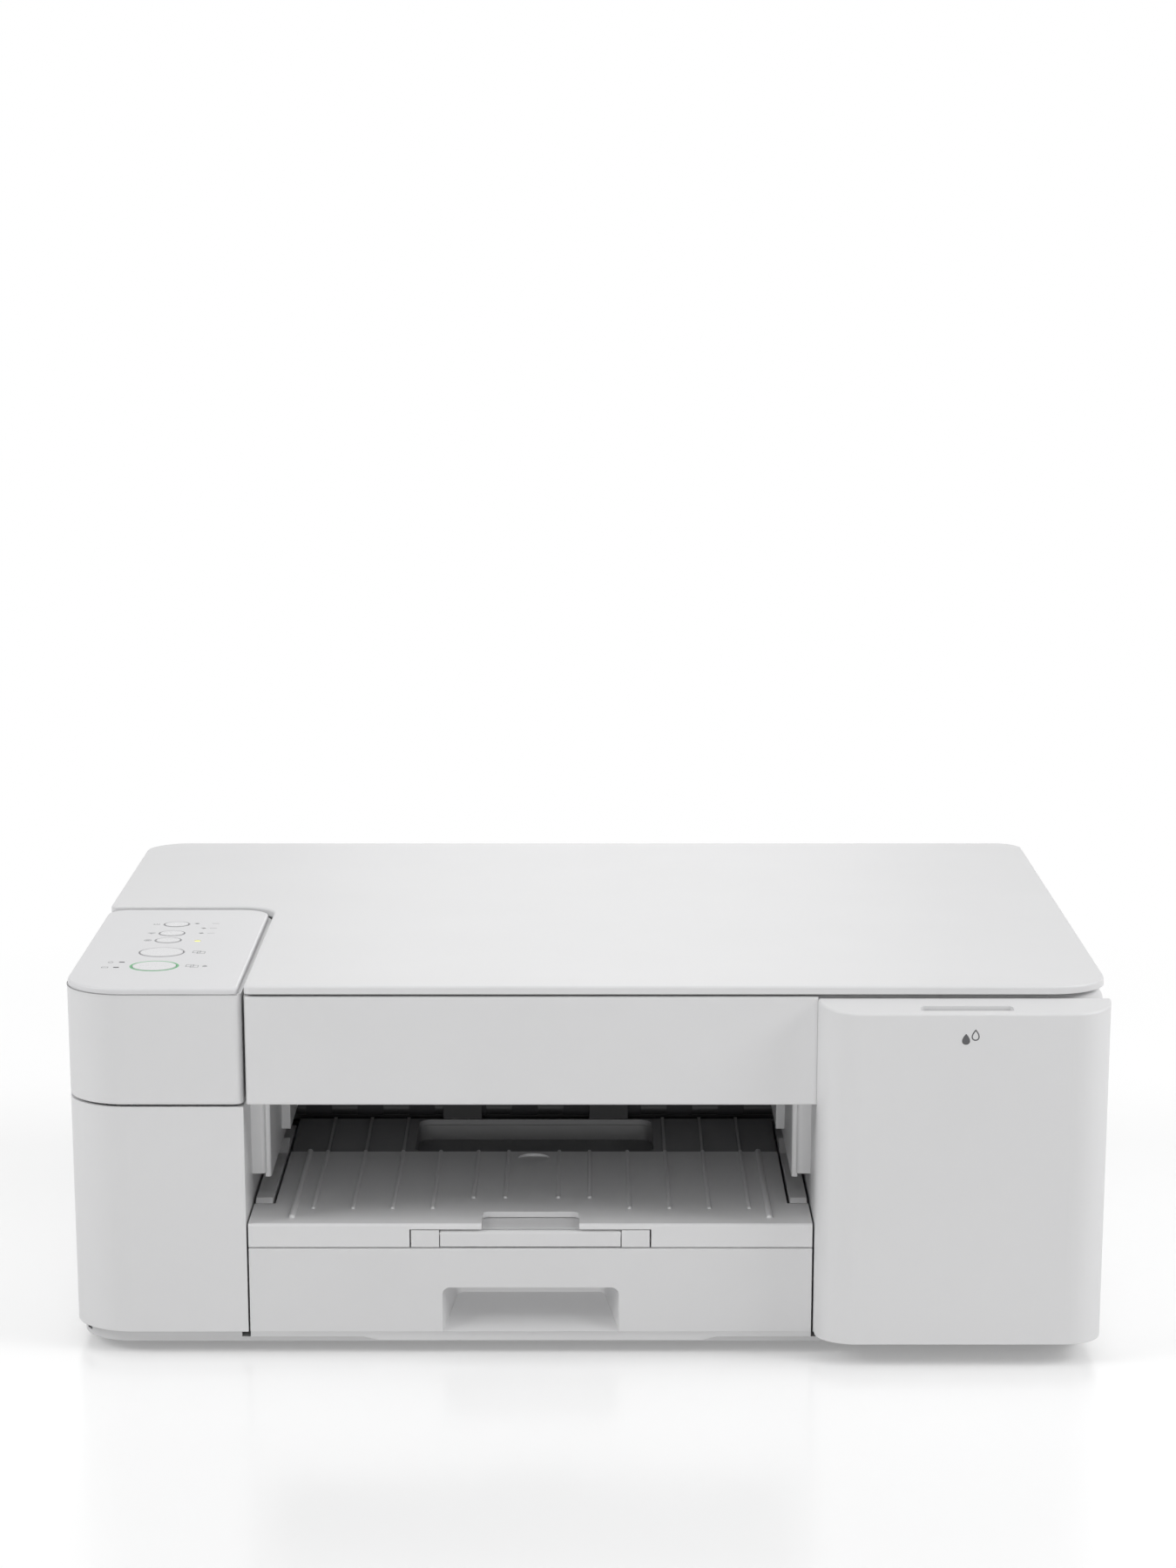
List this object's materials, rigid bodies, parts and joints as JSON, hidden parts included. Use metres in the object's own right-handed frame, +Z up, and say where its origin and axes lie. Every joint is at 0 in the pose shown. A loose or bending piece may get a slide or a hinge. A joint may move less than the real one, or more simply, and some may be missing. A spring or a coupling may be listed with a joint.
{
  "type": "inkjet printer",
  "caption": "Flatbed inkjet all-in-one with a lifting scanner lid, side control panel, front ink bay door and a front paper tray under an open output deck.",
  "frame": {"origin": "centre of the footprint, on the surface that the feet stand on", "axes": "+X to the printer's right as seen from the front, +Y to its back, +Z up"},
  "size_m": [0.435, 0.359, 0.159],
  "materials": {
    "white_shell": "fine satin texture",
    "deck_grey": "satin",
    "button_white": "smooth",
    "dark_plastic": "moulded",
    "gear_plastic": "moulded acetal",
    "frame_steel": "plated sheet",
    "roller_rubber": "matt",
    "circuit_board": "solder mask",
    "clear_glass": "polished",
    "lamp_clear": "clear lens",
    "foam_white": "soft foam",
    "ink_black": "moulded",
    "ink_yellow": "moulded",
    "ink_cyan": "moulded",
    "ink_magenta": "moulded"
  },
  "bodies": {
    "printer": {"base_pan": "deck_grey", "rubber_feet": "roller_rubber", "body_cover": "white_shell", "chassis": "frame_steel", "carriage_rail": "frame_steel", "platen": "dark_plastic", "maintenance_unit": "dark_plastic", "waste_ink_pad": "foam_white", "carriage_motor": "frame_steel", "feed_motor": "frame_steel", "carriage_belt": "roller_rubber", "cartridge_holder": "dark_plastic", "cartridge_black": "ink_black", "cartridge_yellow": "ink_yellow", "cartridge_cyan": "ink_cyan", "cartridge_magenta": "ink_magenta", "ink_tubes": "roller_rubber", "main_board": "circuit_board", "power_supply": "dark_plastic", "power_inlet": "dark_plastic", "usb_port": "dark_plastic", "eject_star_wheels": "dark_plastic", "pinch_rollers": "dark_plastic", "unit_hinge_pins": "frame_steel"},
    "scanner_unit": {"scanner_case": "white_shell", "front_fascia": "white_shell", "panel_block": "white_shell", "panel_plate": "white_shell", "panel_board": "circuit_board", "indicator_lights": "lamp_clear", "scan_glass": "clear_glass", "cis_rail": "frame_steel", "lid_hinge_pins": "frame_steel"},
    "lid": {"lid_cover": "white_shell", "lid_pad": "foam_white"},
    "scan_bar": {"cis_bar": "dark_plastic"},
    "ink_cover": {"ink_cover": "white_shell"},
    "paper_tray": {"tray_box": "deck_grey", "tray_front": "white_shell", "output_deck": "deck_grey"},
    "left_guide": {"side_guide_left": "dark_plastic"},
    "right_guide": {"side_guide_right": "dark_plastic"},
    "guide_gear": {"guide_pinion": "gear_plastic"},
    "length_guide": {"rear_guide": "dark_plastic"},
    "paper_support": {"paper_support": "deck_grey"},
    "support_flap": {"support_flap": "deck_grey"},
    "carriage": {"print_carriage": "dark_plastic"},
    "belt_drive": {"drive_pulley": "gear_plastic"},
    "belt_idler": {"idler_pulley": "gear_plastic"},
    "feed_roller": {"feed_roller": "roller_rubber"},
    "eject_roller": {"eject_roller": "roller_rubber"},
    "idler_gear": {"idler_gear": "gear_plastic"},
    "motor_pinion": {"motor_pinion": "gear_plastic"},
    "pickup_arm": {"pickup_arm": "dark_plastic"},
    "pickup_roller": {"pickup_roller": "roller_rubber"},
    "power_button": {"power_button": "button_white"},
    "wifi_button": {"wifi_button": "button_white"},
    "stop_button": {"stop_button": "button_white"},
    "mono_copy_button": {"mono_copy_button": "button_white"},
    "colour_copy_button": {"colour_copy_button": "button_white"}
  },
  "joints": [
    {"name": "scanner_unit_hinge", "type": "hinge", "parent": "printer", "child": "scanner_unit", "pos_m": [0, 0.1735, 0.1144], "axis": [-1, 0, 0], "range_deg": [0, 40]},
    {"name": "lid_hinge", "type": "hinge", "parent": "scanner_unit", "child": "lid", "pos_m": [0, 0.1735, 0.1486], "axis": [-1, 0, 0], "range_deg": [0, 85]},
    {"name": "scan_bar_slide", "type": "slide", "parent": "scanner_unit", "child": "scan_bar", "axis": [1, 0, 0], "range_m": [0, 0.28]},
    {"name": "ink_cover_hinge", "type": "hinge", "parent": "printer", "child": "ink_cover", "pos_m": [0.157, -0.1701, 0.0165], "axis": [1, 0, 0], "range_deg": [0, 88]},
    {"name": "paper_tray_slide", "type": "slide", "parent": "printer", "child": "paper_tray", "axis": [0, -1, 0], "range_m": [0, 0.335]},
    {"name": "left_guide_slide", "type": "slide", "parent": "paper_tray", "child": "left_guide", "axis": [1, 0, 0], "range_m": [0, 0.046]},
    {"name": "right_guide_slide", "type": "slide", "parent": "paper_tray", "child": "right_guide", "axis": [-1, 0, 0], "range_m": [0, 0.046]},
    {"name": "guide_gear_spin", "type": "hinge", "parent": "paper_tray", "child": "guide_gear", "pos_m": [-0.023, 0.0105, 0.012], "axis": [0, 0, 1], "range_deg": [-255, 5]},
    {"name": "length_guide_slide", "type": "slide", "parent": "paper_tray", "child": "length_guide", "axis": [0, 1, 0], "range_m": [0, 0.085]},
    {"name": "paper_support_slide", "type": "slide", "parent": "paper_tray", "child": "paper_support", "axis": [0, -1, 0], "range_m": [0, 0.08]},
    {"name": "support_flap_hinge", "type": "hinge", "parent": "paper_support", "child": "support_flap", "pos_m": [-0.023, -0.16, 0.0524], "axis": [-1, 0, 0], "range_deg": [0, 100]},
    {"name": "carriage_slide", "type": "slide", "parent": "printer", "child": "carriage", "axis": [-1, 0, 0], "range_m": [0, 0.236]},
    {"name": "belt_drive_spin", "type": "hinge", "parent": "printer", "child": "belt_drive", "pos_m": [-0.136, 0.1165, 0.086], "axis": [0, 1, 0], "range_deg": [-2300, 10]},
    {"name": "belt_idler_spin", "type": "hinge", "parent": "printer", "child": "belt_idler", "pos_m": [0.19, 0.1165, 0.086], "axis": [0, 1, 0], "range_deg": [-2300, 10]},
    {"name": "feed_roller_spin", "type": "hinge", "parent": "printer", "child": "feed_roller", "pos_m": [0, 0.072, 0.06], "axis": [1, 0, 0], "continuous": true},
    {"name": "eject_roller_spin", "type": "hinge", "parent": "printer", "child": "eject_roller", "pos_m": [0, 0.02, 0.0624], "axis": [1, 0, 0], "continuous": true},
    {"name": "idler_gear_spin", "type": "hinge", "parent": "printer", "child": "idler_gear", "pos_m": [-0.1565, 0.04003, 0.06145], "axis": [1, 0, 0], "continuous": true},
    {"name": "motor_pinion_spin", "type": "hinge", "parent": "printer", "child": "motor_pinion", "pos_m": [-0.1565, 0.0912, 0.07753], "axis": [1, 0, 0], "continuous": true},
    {"name": "pickup_arm_swing", "type": "hinge", "parent": "printer", "child": "pickup_arm", "pos_m": [-0.023, 0.062, 0.048], "axis": [1, 0, 0], "range_deg": [-24, 8]},
    {"name": "pickup_roller_spin", "type": "hinge", "parent": "pickup_arm", "child": "pickup_roller", "pos_m": [-0.023, 0.096, 0.037], "axis": [1, 0, 0], "continuous": true},
    {"name": "power_button_press", "type": "slide", "parent": "scanner_unit", "child": "power_button", "axis": [0, 0, -1], "range_m": [0, 0.0008], "stiffness_N_per_m": 300},
    {"name": "wifi_button_press", "type": "slide", "parent": "scanner_unit", "child": "wifi_button", "axis": [0, 0, -1], "range_m": [0, 0.0008], "stiffness_N_per_m": 300},
    {"name": "stop_button_press", "type": "slide", "parent": "scanner_unit", "child": "stop_button", "axis": [0, 0, -1], "range_m": [0, 0.0008], "stiffness_N_per_m": 300},
    {"name": "mono_copy_button_press", "type": "slide", "parent": "scanner_unit", "child": "mono_copy_button", "axis": [0, 0, -1], "range_m": [0, 0.0008], "stiffness_N_per_m": 300},
    {"name": "colour_copy_button_press", "type": "slide", "parent": "scanner_unit", "child": "colour_copy_button", "axis": [0, 0, -1], "range_m": [0, 0.0008], "stiffness_N_per_m": 300}
  ],
  "couplings": [
    {"joint": "right_guide_slide", "follows": "left_guide_slide", "ratio": 1},
    {"joint": "guide_gear_spin", "follows": "left_guide_slide", "rad_per_m": -95.238},
    {"joint": "belt_drive_spin", "follows": "carriage_slide", "rad_per_m": -166.67},
    {"joint": "belt_idler_spin", "follows": "carriage_slide", "rad_per_m": -166.67},
    {"joint": "eject_roller_spin", "follows": "feed_roller_spin", "ratio": 2.5},
    {"joint": "idler_gear_spin", "follows": "feed_roller_spin", "ratio": -1.6667},
    {"joint": "motor_pinion_spin", "follows": "feed_roller_spin", "ratio": -3.3333}
  ]
}
